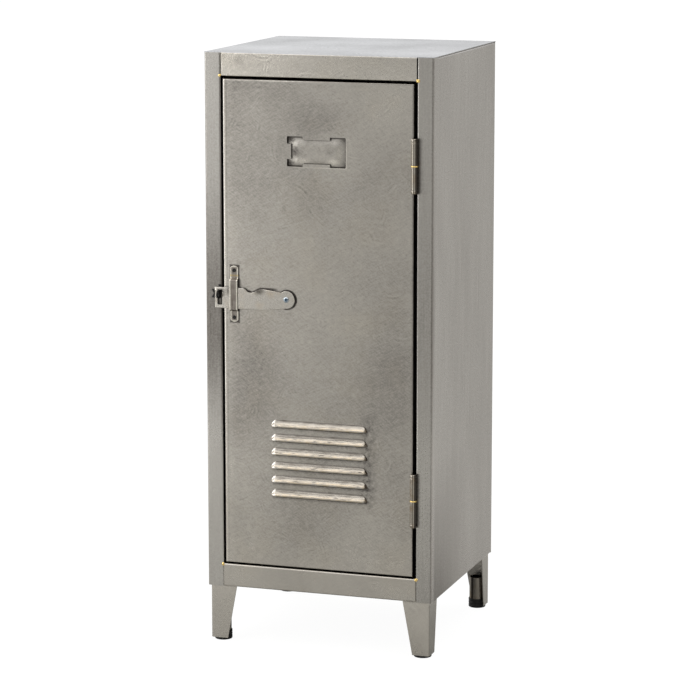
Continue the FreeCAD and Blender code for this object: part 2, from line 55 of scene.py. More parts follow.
# places on the front that finishes and shapes share, in metres
DOOR_LEFT, DOOR_TOP, DOOR_MIDDLE = -0.147, 0.8465, 0.4845
TOP_UNDERSIDE = 0.8838
POCKET_X, POCKET_Z = -0.0025, 0.7435                 # middle of the card pocket
POCKET_HALF = (0.045, 0.022)
LOUVRE_X, LOWEST_LIP, LOUVRE_PITCH = 0.001, 0.2305, 0.0209
HINGE_HEIGHTS = (0.729, 0.238)


# ---------------------------------------------------------------- materials: shared
def linear(hex_colour):
    """Linear RGBA of an sRGB hex value."""
    channels = [int(hex_colour[i:i + 2], 16) / 255 for i in (1, 3, 5)]
    return [c / 12.92 if c <= 0.04045 else ((c + 0.055) / 1.055) ** 2.4 for c in channels] + [1.0]


def add(tree, kind, settings=None, *values, **named):
    """New node with its settings, values and links. Settings may be just a Math node's operation.
    Values go to the inputs in their order, and named ones to the input of that label, with _ for a
    space, or at that place, as i6. A node given as a value stands for its first output."""
    node = tree.nodes.new(kind)
    settings = {"operation": settings} if isinstance(settings, str) else settings or {}
    for name, value in settings.items():
        setattr(node, name, value)
    inputs = list(enumerate(values))
    for name, value in named.items():
        inputs.append((int(name[1:]) if name[1:].isdigit() else name.replace("_", " "), value))
    for place, value in inputs:
        socket = node.inputs[place]
        if isinstance(value, bpy.types.Node):
            value = value.outputs[0]
        if isinstance(value, bpy.types.NodeSocket):
            tree.links.new(value, socket)
        else:
            socket.default_value = value
    return node


def new_material(name):
    """Empty material, its node tree, and the place on the object that its patterns follow."""
    material = bpy.data.materials.new(name)
    material.use_nodes = True
    material.node_tree.nodes.clear()
    return material, material.node_tree, add(material.node_tree, "ShaderNodeTexCoord").outputs["Object"]


def product(tree, first, *others):
    """Product of patterns and numbers."""
    for other in others:
        first = add(tree, MATH, "MULTIPLY", first, other)
    return first


def away(tree, coordinate, centre):
    """How far a coordinate is from a centre."""
    return add(tree, MATH, "ABSOLUTE", add(tree, MATH, "SUBTRACT", coordinate, centre))


def noise(tree, place, size_mm, detail=2.0, roughness=0.5, stretch=(1, 1, 1), shift=0.0, turn=0.0):
    """Soft noise with spots of the given size; stretch lengthens them along each axis, and turn leans
    them over on the face, in degrees."""
    mapping = add(tree, "ShaderNodeMapping", {"vector_type": "TEXTURE"}, Vector=place,
                  Location=(-shift, -shift * 1.7, -shift * 0.6),
                  Rotation=(0, math.radians(turn), 0), Scale=stretch)
    return add(tree, "ShaderNodeTexNoise", Vector=mapping, Scale=1 / (size_mm * MM),
               Detail=detail, Roughness=roughness).outputs["Fac"]


def hair_arcs(tree, place, patch_mm, line_mm, shift):
    """Short arcs of fine scratches, each patch about its own centre, as a sanding disc leaves them."""
    moved = add(tree, "ShaderNodeVectorMath", "ADD", place, (shift, shift * 0.7, shift * 1.3))
    cells = add(tree, "ShaderNodeTexVoronoi", {"feature": "F1"}, Vector=moved,
                Scale=1 / (patch_mm * MM), Randomness=1.0)
    throw = add(tree, "ShaderNodeVectorMath", "MULTIPLY_ADD", cells.outputs["Color"],
                (patch_mm * MM * 3.4,) * 3, cells.outputs["Position"])
    centre = add(tree, "ShaderNodeVectorMath", "SUBTRACT", throw, (patch_mm * MM * 1.7,) * 3)
    reach = add(tree, "ShaderNodeVectorMath", "DISTANCE", moved, centre)
    rings = add(tree, "ShaderNodeTexNoise", {"noise_dimensions": "1D"}, W=reach.outputs["Value"],
                Scale=1 / (line_mm * MM), Detail=1.0, Roughness=0.6)
    fade = add(tree, RANGE, None, cells.outputs["Distance"], 0.2, 0.6, 1.0, 0.0)
    broken = add(tree, RANGE, None, noise(tree, place, line_mm * 4, detail=1.0, shift=shift + 3), 0.42, 0.62)
    line = add(tree, MATH, "SUBTRACT", rings.outputs["Fac"], 0.5)
    return product(tree, line, fade, broken)


def band(tree, place, axis, centre, half):
    """One on a line across the axis, falling to nought at half its width, all in metres."""
    along = add(tree, XYZ, None, place).outputs[axis]
    return add(tree, RANGE, SOFT, away(tree, along, centre), 0.0, half, 1.0, 0.0)


def blob(tree, place, centre, reach):
    """One at a place on the face (x, z), falling softly to nought at its reach along x and z, in mm."""
    moved = add(tree, "ShaderNodeVectorMath", "SUBTRACT", place, (centre[0] * MM, 0, centre[1] * MM))
    scaled = add(tree, "ShaderNodeVectorMath", "MULTIPLY", moved,
                 (1 / (reach[0] * MM), 0, 1 / (reach[1] * MM)))
    reached = add(tree, "ShaderNodeVectorMath", "LENGTH", scaled).outputs["Value"]
    return add(tree, RANGE, SOFT, reached, 0.0, 1.0, 1.0, 0.0)


def reveal_shade(tree, place):
    """One in the gap round the door and just inside the opening: a mask for painted shade there."""
    x, y, z = add(tree, XYZ, None, place).outputs
    depth = add(tree, MATH, "SUBTRACT", y, cad_front)
    inside = add(tree, RANGE, None, add(tree, MATH, "ABSOLUTE", x), 0.1742, 0.1736)
    inside = product(tree, inside, add(tree, RANGE, None, z, 0.8846, TOP_UNDERSIDE))
    inside = product(tree, inside, add(tree, RANGE, None, z, 0.0856, 0.0862))
    near = product(tree, add(tree, RANGE, None, depth, 0.0014, 0.0032),
                   add(tree, RANGE, None, depth, 0.045, 0.022))
    aside = add(tree, RANGE, None, add(tree, MATH, "ABSOLUTE", x), 0.13, 0.136)
    level = add(tree, RANGE, None, away(tree, z, 0.485), 0.345, 0.352)
    near = product(tree, near, add(tree, MATH, "MAXIMUM", aside, level))
    return product(tree, inside, near)


def total(tree, *weighted):
    """Sum of patterns, each with its weight; a pattern in 0..1 is first centred on nought."""
    result = 0.0
    for pattern, weight, middle in weighted:
        centred = add(tree, MATH, "SUBTRACT", pattern, middle) if middle else pattern
        result = add(tree, MATH, "MULTIPLY_ADD", centred, weight, result)
    return result


def metal(tree, tone, dark, light, tint, tint_at, roughness, height, depth_mm, polish=0.2, anisotropy=0.0,
          painted_shade_at=0.0):
    """Bare metal: tone runs from dark to light about nought, tint warms it where tint_at is high,
    and painted shade darkens it towards dark brown where the shade mask is high."""
    share = add(tree, MATH, "MAXIMUM", add(tree, MATH, "ADD", tone, 0.5), -0.6)
    mixed = add(tree, "ShaderNodeMix", {"data_type": "RGBA", "clamp_factor": False}, i0=share,
                i6=linear(dark), i7=linear(light))
    warmed = add(tree, "ShaderNodeMix", {"data_type": "RGBA", "blend_type": "MULTIPLY"}, i0=tint_at,
                 i6=mixed.outputs[2], i7=linear(tint))
    # painted shade: the colour mixes towards this dark brown where the shade mask is high
    scaled = add(tree, "ShaderNodeMix", {"data_type": "RGBA"}, i0=painted_shade_at, i6=warmed.outputs[2],
                 i7=linear("#332F2C"))
    gloss = add(tree, MATH, "MAXIMUM", add(tree, MATH, "MULTIPLY_ADD", tone, -polish, roughness),
                roughness * 0.7)
    relief = add(tree, "ShaderNodeBump", Height=height, Strength=1.0, Distance=depth_mm * MM)
    tangent = add(tree, "ShaderNodeTangent", {"direction_type": "RADIAL", "axis": "Z"})
    shader = add(tree, "ShaderNodeBsdfPrincipled", Base_Color=scaled.outputs[2], Metallic=1.0,
                 Roughness=gloss, Normal=relief, Anisotropic=anisotropy, Tangent=tangent)
    add(tree, "ShaderNodeOutputMaterial", Surface=shader)


# ---------------------------------------------------------------- materials: finishes
# soft patches on the door: middle (x, z) and reach in mm, and the change in tone
CLOUDS = (((-105, 375), (75, 160), -0.38), ((-10, 240), (110, 140), -0.3), ((110, 430), (80, 230), -0.38),
          ((10, 790), (80, 40), -0.3), ((80, 700), (60, 90), -0.2), ((110, 810), (60, 60), 0.3),
          ((-8, 674), (70, 70), -0.22))
# and on the card pocket's floor: painted highlights, painted shade between them and in its corners
POCKET_PAINTED_LIGHT = (((-28, 756.5), (12, 8), 0.75), ((-24, 730.5), (17, 8), 1.0), ((23, 730), (15, 8), 1.1),
                 ((28, 757), (10, 7), 0.6), ((17, 746), (12, 12), -0.6), ((-35, 743.5), (9, 14), -0.75),
                 ((33, 743.5), (9, 20), 0.6), ((-44, 762), (11, 9), -0.7), ((-44, 725), (11, 9), -0.7),
                 ((40, 763), (10, 9), -0.7), ((40, 724), (10, 9), -0.7))


def clouds(tree, place, patches):
    """Soft patches as terms for total()."""
    return [(blob(tree, place, centre, reach), weight, 0) for centre, reach, weight in patches]


def pocket_places(tree, place):
    """Distances in the card pocket: from its middle across and up, in from its nearest side, and one
    on its floor."""
    x, y, z = add(tree, XYZ, None, place).outputs
    aside, level = away(tree, x, POCKET_X), away(tree, z, POCKET_Z)
    inward = add(tree, MATH, "MINIMUM", add(tree, MATH, "SUBTRACT", POCKET_HALF[0], aside),
                 add(tree, MATH, "SUBTRACT", POCKET_HALF[1], level))
    depth = add(tree, MATH, "SUBTRACT", y, cad_front)
    floor = product(tree, add(tree, RANGE, None, depth, 0.0006, 0.0012),
                    add(tree, RANGE, None, depth, 0.0035, 0.0032))
    return aside, level, inward, depth, floor


def pocket_edge_shade(tree, place):
    """One in the card pocket's corners, along its sides and beneath its tabs: a mask for painted shade there."""
    aside, level, inward, _, floor = pocket_places(tree, place)
    line = add(tree, RANGE, None, inward, 0.0030, 0.0008)
    under_tab = product(tree, add(tree, RANGE, None, level, 0.0176, 0.0186),
                        add(tree, RANGE, None, aside, 0.0232, 0.0222))
    near = add(tree, RANGE, None, inward, -0.0004, -0.0002)
    return product(tree, add(tree, MATH, "MAXIMUM", line, under_tab), floor, near)


def pocket_painted_light(tree, place):
    """Tone of the card pocket: painted highlights on its floor's corners and painted shade between them,
    with a thin painted highlight outside its right and lower sides."""
    x, _, z = add(tree, XYZ, None, place).outputs
    _, _, inward, depth, floor = pocket_places(tree, place)
    # painted highlight: a thin bright line outside the pocket's right and lower sides
    rim = product(tree, add(tree, RANGE, None, inward, -0.0018, -0.0008),
                  add(tree, RANGE, None, inward, 0.0002, -0.0002))
    lower_right = add(tree, MATH, "SUBTRACT", product(tree, x, 0.5), add(tree, MATH, "SUBTRACT", z, POCKET_Z))
    rim = product(tree, rim, add(tree, RANGE, None, lower_right, 0.0, 0.012),
                  add(tree, RANGE, None, depth, 0.0006, 0.0004))
    return total(tree, (product(tree, total(tree, *clouds(tree, place, POCKET_PAINTED_LIGHT)), floor), 1.0, 0),
                 (rim, 0.9, 0))


def above_lip(tree, z, lip):
    """Height above the nearest louvre lip below, in mm."""
    steps = add(tree, MATH, "DIVIDE", add(tree, MATH, "SUBTRACT", z, lip), LOUVRE_PITCH)
    return product(tree, add(tree, MATH, "FRACT", steps), LOUVRE_PITCH / MM)


def disc_sanded_steel():
    """Cold-rolled sheet sanded with a disc: grey satin, a felt of short bright hairs, dull clouds and
    a few pinkish heat tints; darker in blotches about the louvres' right ends, painted shade in the card pocket,
    beneath the louvre lips, round the latch, in the gap round the door and on the legs' right sides, and a painted
    highlight along the door's left and top edges."""
    material, tree, place = new_material("disc_sanded_sheet_steel")
    cloud = noise(tree, place, 150, detail=3.0, roughness=0.5)
    mottle = noise(tree, place, 26, detail=2.0, roughness=0.6, shift=0.3)
    speckle = add(tree, RANGE, None, noise(tree, place, 2.3, detail=2.0, roughness=0.6), 0.36, 0.64)
    arcs = add(tree, MATH, "ADD", hair_arcs(tree, place, 34, 3.0, 0.0), hair_arcs(tree, place, 26, 2.4, 0.37))
    hairs = add(tree, MATH, "ADD", noise(tree, place, 2.0, detail=1.0, stretch=(5, 1, 1), turn=38),
                noise(tree, place, 2.2, detail=1.0, stretch=(5, 1, 1), turn=-25, shift=0.7))
    # painted highlight along the door's left and top edges
    edges = add(tree, MATH, "ADD", band(tree, place, 0, DOOR_LEFT, 0.022),
                band(tree, place, 2, DOOR_TOP, 0.006))
    stain = noise(tree, place, 80, detail=3.0, shift=0.93)
    x, y, z = add(tree, XYZ, None, place).outputs
    rail = product(tree, band(tree, place, 2, 0.867, 0.02),
                   add(tree, RANGE, None, y, cad_front + 0.003, cad_front))
    rail = add(tree, RANGE, None, rail, 0.0, 0.12)
    rail = product(tree, rail, add(tree, RANGE, None, x, -0.15, 0.15, 1.0, 0.4))
    corner = product(tree, add(tree, RANGE, None, z, 0.62, 0.84), add(tree, RANGE, None, x, 0.03, -0.14))
    corner = product(tree, corner, add(tree, RANGE, None, z, 0.85, 0.848))
    # painted shade on the legs' right sides, which face the bright floor
    leg_side_shade = product(tree, add(tree, RANGE, None, z, 0.084, 0.08), add(tree, RANGE, None, x, 0.1695, 0.1705))
    # darker, in blotches, about the louvres' right ends
    louvre_x = add(tree, RANGE, None, away(tree, x, 0.076), 0.017, 0.003)
    louvre_z = add(tree, RANGE, None, away(tree, z, 0.288), 0.078, 0.06)
    louvre_end_darkening = product(tree, louvre_x, louvre_z, add(tree, RANGE, None,
                                                 noise(tree, place, 6, detail=3.0, shift=0.5), 0.35, 0.65))
    depth = add(tree, MATH, "SUBTRACT", y, cad_front)
    # painted shade: the card pocket's recess darker with its depth
    pocket = product(tree, add(tree, RANGE, None, depth, 0.001, 0.003),
                     add(tree, RANGE, None, depth, 0.0035, 0.0032),
                     add(tree, RANGE, None, away(tree, z, POCKET_Z), 0.024, 0.022))
    pocket = product(tree, pocket, add(tree, RANGE, None, add(tree, MATH, "ABSOLUTE", x), 0.052, 0.048))
    top = add(tree, RANGE, None, z, TOP_UNDERSIDE, 0.8845)
    up = above_lip(tree, z, LOWEST_LIP)
    # painted shadow: a dark band on the face just beneath each louvre lip
    painted_lip_shadow = product(tree, add(tree, RANGE, None, up, 14.0, 20.0),
                    add(tree, RANGE, None, away(tree, z, 0.281), 0.066, 0.065))
    painted_lip_shadow = product(tree, painted_lip_shadow, add(tree, RANGE, None, away(tree, x, 0.002), 0.076, 0.072))
    # painted shadow on the door round the strap, round the lever's round end and along the lever's top edge
    strap = add(tree, MATH, "MAXIMUM", add(tree, MATH, "SUBTRACT", away(tree, x, -0.1297), 0.0064),
                add(tree, MATH, "SUBTRACT", away(tree, z, 0.53), 0.0421))
    latch_painted_shadow = add(tree, MATH, "MAXIMUM", add(tree, RANGE, None, strap, 0.0022, 0.0004),
                add(tree, RANGE, None, blob(tree, place, (-47.8, 524.8), (34, 34)), 0.555, 0.6))
    dip = add(tree, MATH, "MINIMUM", add(tree, RANGE, None, x, -0.1238, -0.1028),
              add(tree, RANGE, None, x, -0.0905, -0.1028))
    over = add(tree, MATH, "SUBTRACT", z, add(tree, MATH, "MULTIPLY_ADD", dip, -0.006, 0.5392))
    over = product(tree, add(tree, RANGE, None, over, 0.0022, 0.001),
                   add(tree, RANGE, None, over, -0.003, -0.002))
    over = product(tree, over, add(tree, RANGE, None, away(tree, x, -0.0945), 0.033, 0.026))
    latch_painted_shadow = add(tree, MATH, "MAXIMUM", latch_painted_shadow, over)
    grain = total(tree, (speckle, 0.25, 0.5), (hairs, 0.6, 1.0))
    smooth = product(tree, add(tree, RANGE, None, z, 0.115, 0.135, 0.3, 1.0),
                     add(tree, RANGE, None, top, 0.0, 1.0, 1.0, 0.6))
    leg = add(tree, RANGE, None, z, 0.085, 0.083)
    # painted highlight: a bright strip down the door's left edge with a darker line beside it
    painted_edge_light = total(tree, (edges, 0.2, 0), (band(tree, place, 0, -0.1450, 0.0025), 0.7, 0),
                 (band(tree, place, 0, -0.1413, 0.0012), -0.4, 0))
    painted_edge_light = product(tree, painted_edge_light, add(tree, RANGE, None, away(tree, z, DOOR_MIDDLE), 0.3632, 0.3622))
    # tone on the face: random clouds, plus painted highlights and painted shade
    marks_and_painted_light = total(tree, (painted_edge_light, 1.0, 0), (add(tree, RANGE, None, z, 0.36, 0.06), 0.3, 0), (corner, -0.5, 0),
                  (louvre_end_darkening, -0.7, 0), (painted_lip_shadow, -0.8, 0), (latch_painted_shadow, -1.05, 0), *clouds(tree, place, CLOUDS))
    face = product(tree, add(tree, RANGE, None, depth, 0.0012, 0.0006),
                   add(tree, RANGE, None, z, TOP_UNDERSIDE, 0.883))
    tone = total(tree, (cloud, 1.0, 0.5), (mottle, 0.2, 0.5), (product(tree, grain, smooth), 1.0, 0),
                 (arcs, 0.8, 0), (product(tree, arcs, rail), 2.0, 0), (rail, 0.98, 0), (leg, 0.5, 0),
                 (pocket, -0.35, 0), (pocket_painted_light(tree, place), 1.0, 0), (top, -0.28, 0),
                 (product(tree, marks_and_painted_light, face), 1.0, 0))
    wave = noise(tree, place, 150, detail=1.0, shift=1.4)
    height = total(tree, (wave, 1.0, 0.5), (speckle, 0.02, 0.5))
    # painted shade in the gap round the door, along the card pocket's sides and tabs, and on the legs' right sides
    painted_shade_total = add(tree, MATH, "MAXIMUM", reveal_shade(tree, place), product(tree, pocket_edge_shade(tree, place), 0.75))
    painted_shade_total = add(tree, MATH, "MAXIMUM", painted_shade_total, product(tree, leg_side_shade, 0.3))
    warmth = product(tree, add(tree, RANGE, None, stain, 0.5, 0.8, 0.82, 1.0),
                     add(tree, RANGE, None, z, 0.8845, TOP_UNDERSIDE))
    metal(tree, tone, "#7E7F82", "#B0B2B6", "#FFF4E1", warmth, 0.36, height, 1.6, painted_shade_at=painted_shade_total)
    return material


def brushed_sheet_steel():
    """Cold-rolled sheet brushed up and down: even grey satin with fine upright streaks, with painted shade low on
    the sides' front, along the right front corner, beside the hinge barrels and in the gap round the door.
    """
    material, tree, place = new_material("upright_brushed_sheet_steel")
    streak = noise(tree, place, 2.0, detail=3.0, roughness=0.6, stretch=(1, 1, 45))
    speckle = add(tree, RANGE, None, noise(tree, place, 2.4, detail=2.0, roughness=0.6), 0.36, 0.64)
    cloud = noise(tree, place, 120, detail=2.0, stretch=(1, 1, 3))
    x, y, z = add(tree, XYZ, None, place).outputs
    side = add(tree, RANGE, None, add(tree, MATH, "ABSOLUTE", x), 0.173, 0.1745)
    # painted shade: the side panels darker towards their low front
    dull = product(tree, add(tree, RANGE, None, z, 0.3, 0.09), add(tree, RANGE, None, y, 0.05, -0.1))
    post = product(tree, add(tree, RANGE, None, x, 0.14, -0.14, 0.34, 1.0),
                   add(tree, RANGE, None, y, -0.14, -0.15))
    low = product(tree, add(tree, RANGE, None, z, 0.42, 0.1), add(tree, RANGE, None, y, -0.14, -0.15))
    front = add(tree, RANGE, None, y, -0.14, -0.15)
    # painted shadow on the post just right of the hinge barrels
    hinge = add(tree, MATH, "MINIMUM", away(tree, z, HINGE_HEIGHTS[0]), away(tree, z, HINGE_HEIGHTS[1]))
    hinge = product(tree, add(tree, RANGE, None, hinge, 0.041, 0.04), add(tree, RANGE, None, x, 0.1585, 0.1528))
    hinge = product(tree, hinge, hinge)
    tone = total(tree, (streak, 0.6, 0.5), (cloud, 0.6, 0.5), (speckle, 0.3, 0.5), (side, 0.2, 0),
                 # painted shade: a dark line down the right front corner's bend
                 (product(tree, front, band(tree, place, 0, 0.1728, 0.0014)), -0.7, 0),
                 (product(tree, hinge, front, add(tree, RANGE, None, x, 0.1499, 0.1501)), -1.1, 0),
                 (dull, -0.78, 0), (product(tree, post, band(tree, place, 2, 0.5, 0.26)), -0.9, 0),
                 (low, 0.72, 0), (product(tree, low, low, add(tree, RANGE, None, x, 0.0, -0.14)), 0.6, 0))
    wave = noise(tree, place, 200, detail=1.0, shift=0.4)
    height = total(tree, (wave, 1.0, 0.5), (streak, 0.015, 0.5))
    metal(tree, tone, "#88837F", "#B1ACA8", "#F9FCFB", add(tree, RANGE, None, side, 0.0, 1.0, 1.0, 0.25), 0.31,
          height, 1.2, anisotropy=0.4, painted_shade_at=reveal_shade(tree, place))
    return material


def hood_steel_with_painted_light():
    """The louvres' crowns: grey where they leave the face, with a warm painted highlight towards the lip,
    a painted highlight on their left ends, painted shade on their right ends, and streaked along."""
    material, tree, place = new_material("hood_sheet_steel_painted_light")
    x, _, z = add(tree, XYZ, None, place).outputs
    streak = noise(tree, place, 1.3, detail=3.0, roughness=0.65, stretch=(9, 1, 1))
    spot = noise(tree, place, 5.0, detail=2.0, stretch=(3, 1, 1))
    up = above_lip(tree, z, LOWEST_LIP - 0.5 * MM)
    # painted highlight: brighter towards the lip
    crown = add(tree, RANGE, None, up, 8.3, 2.5)
    worn = product(tree, add(tree, RANGE, None, streak, 0.5, 0.38), add(tree, RANGE, None, up, 1.2, 2.4),
                   add(tree, RANGE, None, up, 5.4, 3.8))
    tone = total(tree, (streak, 1.1, 0.5), (spot, 0.6, 0.5), (crown, 0.8, 0.36), (worn, -0.7, 0),
                 # painted highlight on the left ends, painted shade on the right ends
                 (add(tree, RANGE, None, x, -0.0665, -0.0695), 0.9, 0),
                 (add(tree, RANGE, None, x, 0.0705, 0.0735), -0.95, 0))
    # warm tint of the painted highlight near the lip
    lip_highlight_tint = product(tree, add(tree, RANGE, None, up, 6.0, 3.0), add(tree, RANGE, None, streak, 0.4, 0.62))
    lip_highlight_tint = product(tree, lip_highlight_tint, add(tree, RANGE, None, x, -0.069, -0.064))
    metal(tree, tone, "#625D57", "#B5B0A9", "#F0E3CC", lip_highlight_tint, 0.22, streak, 0.04)
    return material


def drawn_strap_steel():
    """Drawn steel strap: brownish with long draw lines, with painted highlights along its rounded edges,
    a painted highlight tinted gold at its upper bend, and painted shade on its right side."""
    material, tree, place = new_material("drawn_strap_steel")
    x, _, z = add(tree, XYZ, None, place).outputs
    lines = noise(tree, place, 0.8, detail=2.0, stretch=(1, 1, 30))
    cloud = noise(tree, place, 9, detail=2.0)
    aside = away(tree, x, -0.13)
    end = away(tree, z, 0.53)
    # painted highlight along the strap's rounded edges
    rim = add(tree, MATH, "MAXIMUM", add(tree, RANGE, None, aside, 0.0036, 0.005),
              add(tree, RANGE, None, end, 0.039, 0.0402))
    # painted highlight, tinted gold, along the strap's upper bend
    heat = band(tree, place, 2, 0.5572, 0.0026)
    tone = total(tree, (lines, 0.5, 0.5), (cloud, 0.6, 0.5), (rim, 1.3, 0.35), (heat, 0.5, 0))
    # painted shade on the strap's right side face
    metal(tree, tone, "#6C6660", "#C4BFB6", "#ECDCB8", heat, 0.22, lines, 0.03,
          painted_shade_at=add(tree, RANGE, None, x, -0.1239, -0.1238, 0.0, 0.8))
    return material


def linished_bar_steel():
    """Steel flat bar, linished: paler and smoother than the sheet, with scuffed faces, painted shade on its
    edges and back, and painted shade beside the lever's dip and beside the strap."""
    material, tree, place = new_material("linished_flat_bar_steel")
    _, y, _ = add(tree, XYZ, None, place).outputs
    speckle = add(tree, RANGE, None, noise(tree, place, 1.6, detail=2.0, roughness=0.6), 0.34, 0.66)
    cloud = noise(tree, place, 16, detail=3.0)
    brush = noise(tree, place, 0.9, detail=2.0, stretch=(1, 1, 14))
    # painted shade right of the lever's dip and just left of the strap
    thumb = add(tree, MATH, "ADD", blob(tree, place, (-91, 536), (13, 10)),
                blob(tree, place, (-139, 534), (4, 13)))
    tone = total(tree, (speckle, 0.4, 0.5), (cloud, 0.9, 0.5), (brush, 0.35, 0.5), (thumb, -1.0, 0))
    # painted shade on what lies behind the bar's face: its edges and back
    painted_edge_shade = add(tree, RANGE, None, y, -0.15765, -0.15735, 0.0, 0.85)
    metal(tree, tone, "#94908A", "#C9C5BE", "#F6EEE4", add(tree, RANGE, None, cloud, 0.5, 0.8), 0.24, speckle,
          0.03, painted_shade_at=painted_edge_shade)
    return material


def turned_bar_steel():
    """Turned bar: nearly bright, with fine rings round it and a brown bloom, painted highlights and shade in
    upright lines down the hinge barrels, and painted shade on their right sides.
    """
    material, tree, place = new_material("turned_bar_steel")
    rings = noise(tree, place, 0.6, detail=2.0, stretch=(60, 60, 1))
    cloud = noise(tree, place, 14, detail=2.0)
    # painted highlight and shade: bright, dark and bright upright lines down the hinge barrels
    tone = total(tree, (rings, 0.4, 0.5), (cloud, 0.3, 0.5), (band(tree, place, 0, 0.1437, 0.0016), 0.9, 0),
                 (band(tree, place, 0, 0.1476, 0.0009), -0.6, 0), (band(tree, place, 0, 0.1492, 0.0010), 0.6, 0))
    x, _, _ = add(tree, XYZ, None, place).outputs
    # painted shade on the hinge barrels' right sides
    right_side_shade = product(tree, add(tree, RANGE, None, x, 0.1496, 0.1503, 0.0, 0.9),
                    add(tree, RANGE, None, x, 0.154, 0.153))
    metal(tree, tone, "#6A645C", "#A39D94", "#E2D2BE", add(tree, RANGE, None, cloud, 0.48, 0.75), 0.22, rings,
          0.02, painted_shade_at=right_side_shade)
    return material


def chrome():
    """Chromed rivet: almost a mirror, with a slight bloom and painted shade in its middle."""
    material, tree, place = new_material("polished_chrome")
    bloom = noise(tree, place, 3.0, detail=2.0)
    # painted shade: a dark spot in the pivot rivet's middle
    tone = total(tree, (bloom, 0.5, 0.5), (blob(tree, place, (-48.0, 525.4), (3.4, 3.4)), -1.6, -0.25))
    metal(tree, tone, "#99A1A9", "#E2E8EE", "#FFFFFF", 0.0, 0.1, bloom, 0.01)
    return material


def brass():
    """Brazing brass: yellow, bright where it flowed and dull at its skin."""
    material, tree, place = new_material("flowed_brazing_brass")
    skin = noise(tree, place, 1.6, detail=3.0)
    metal(tree, total(tree, (skin, 1.3, 0.5)), "#C29A48", "#FBE3A0", "#FFF0D0", 0.0, 0.26, skin, 0.12)
    return material


def dull(name, dark, light, roughness, grain_mm, depth_mm, specular=0.5):
    """Matt dark finish: blackened iron or rubber, a little dusty in its grain."""
    material, tree, place = new_material(name)
    grain = noise(tree, place, grain_mm, detail=3.0, roughness=0.6)
    colour = add(tree, "ShaderNodeMix", {"data_type": "RGBA"}, i0=add(tree, RANGE, None, grain, 0.35, 0.75),
                 i6=linear(dark), i7=linear(light))
    relief = add(tree, "ShaderNodeBump", Height=grain, Strength=1.0, Distance=depth_mm * MM)
    shader = add(tree, "ShaderNodeBsdfPrincipled", Base_Color=colour.outputs[2], Roughness=roughness,
                 Normal=relief, Specular_IOR_Level=specular)
    add(tree, "ShaderNodeOutputMaterial", Surface=shader)
    return material


FINISH = {
    "cabinet_steel": brushed_sheet_steel(),
    "door_steel": disc_sanded_steel(),
    "latch_steel": linished_bar_steel(),
    "hinge_steel": turned_bar_steel(),
    "rivet_chrome": chrome(),
    "braze_brass": brass(),
    "black_iron": dull("blackened_iron", "#060606", "#171615", 0.48, 2.0, 0.05, 0.25),
    "foot_rubber": dull("moulded_rubber", "#0D0D0D", "#222120", 0.62, 1.2, 0.05, 0.3),
}
FINISH["tube_steel"] = FINISH["hinge_steel"]
HOOD_PAINTED_LIGHT = hood_steel_with_painted_light()
STRAP = drawn_strap_steel()
BODY_OF = {node: body for body, nodes in frame["record"]["behaviour"]["bodies"].items() for node in nodes}
SLOT_OF = {subpart["node"]: subpart["material_slot"] for subpart in frame["record"]["subparts"]}
for name, slot in SLOT_OF.items():
    solid = frame["nodes"][name]
    solid.data.materials.clear()
    solid.data.materials.append(FINISH[slot])
for name in ("top_panel", "floor_panel", "leg_front_left", "leg_front_right", "leg_rear_left", "leg_rear_right"):
    frame["nodes"][name].data.materials[0] = FINISH["door_steel"]


# ---------------------------------------------------------------- making pieces
def finished(name, mesh, body, slot, replaced=(), finish=None, crease=40):
    """Object of a mesh that is in its place: smooth but for its creases, and riding on its body."""
    mesh.shade_smooth()
    mesh.set_sharp_from_angle(angle=math.radians(crease))
    mesh.materials.clear()
    mesh.materials.append(finish or FINISH[slot])
    made = bpy.data.objects.new(name, mesh)
    bpy.context.collection.objects.link(made)
    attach(made, body)
    if replaced:
        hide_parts(*replaced)
    return made


def even_faces(made):
    """Flat faces keep their own normals beside rounded edges."""
    made.modifiers.new("even_faces", "WEIGHTED_NORMAL").keep_sharp = True


def thickened(made, thickness_mm):
    """A skin is given its thickness, inwards."""
    skin = made.modifiers.new("skin", "SOLIDIFY")
    skin.thickness = thickness_mm * MM
    skin.offset = -1.0


def halfway(low, high):
    """Middle of a box."""
    return [(a + b) / 2 for a, b in zip(low, high)]


def as_mesh(name, shape):
    """Mesh data of a bmesh shape, which is freed."""
    mesh = bpy.data.meshes.new(name)
    shape.normal_update()
    shape.to_mesh(mesh)
    shape.free()
    return mesh


def merged_copy(node):
    """A CAD solid's triangles, joined up and with its flat faces made whole."""
    shape = bmesh.new()
    shape.from_mesh(frame["nodes"][node].data)
    bmesh.ops.remove_doubles(shape, verts=shape.verts, dist=1e-6)
    bmesh.ops.dissolve_limit(shape, angle_limit=math.radians(0.5), verts=shape.verts, edges=shape.edges)
    return shape


def round_over(shape, width_mm, segments=2, sharper=30, wanted=None):
    """Every edge that turns by more than so many degrees is rounded over."""
    edges = [edge for edge in shape.edges if edge.is_manifold and edge.calc_face_angle() > math.radians(sharper)
             and (wanted is None or wanted(edge))]
    bmesh.ops.bevel(shape, geom=edges, offset=width_mm * MM, segments=segments, profile=0.5, affect="EDGES",
                    clamp_overlap=True)


def eased(node, width_mm, segments=2, sharper=30, finish=None):
    """The CAD solid with its edges rounded over, in its place."""
    shape = merged_copy(node)
    round_over(shape, width_mm, segments, sharper)
    name = node + "_eased"
    made = finished(name, as_mesh(name, shape), BODY_OF[node], SLOT_OF[node], (node,),
                    finish or frame["nodes"][node].data.materials[0])
    even_faces(made)
    return made


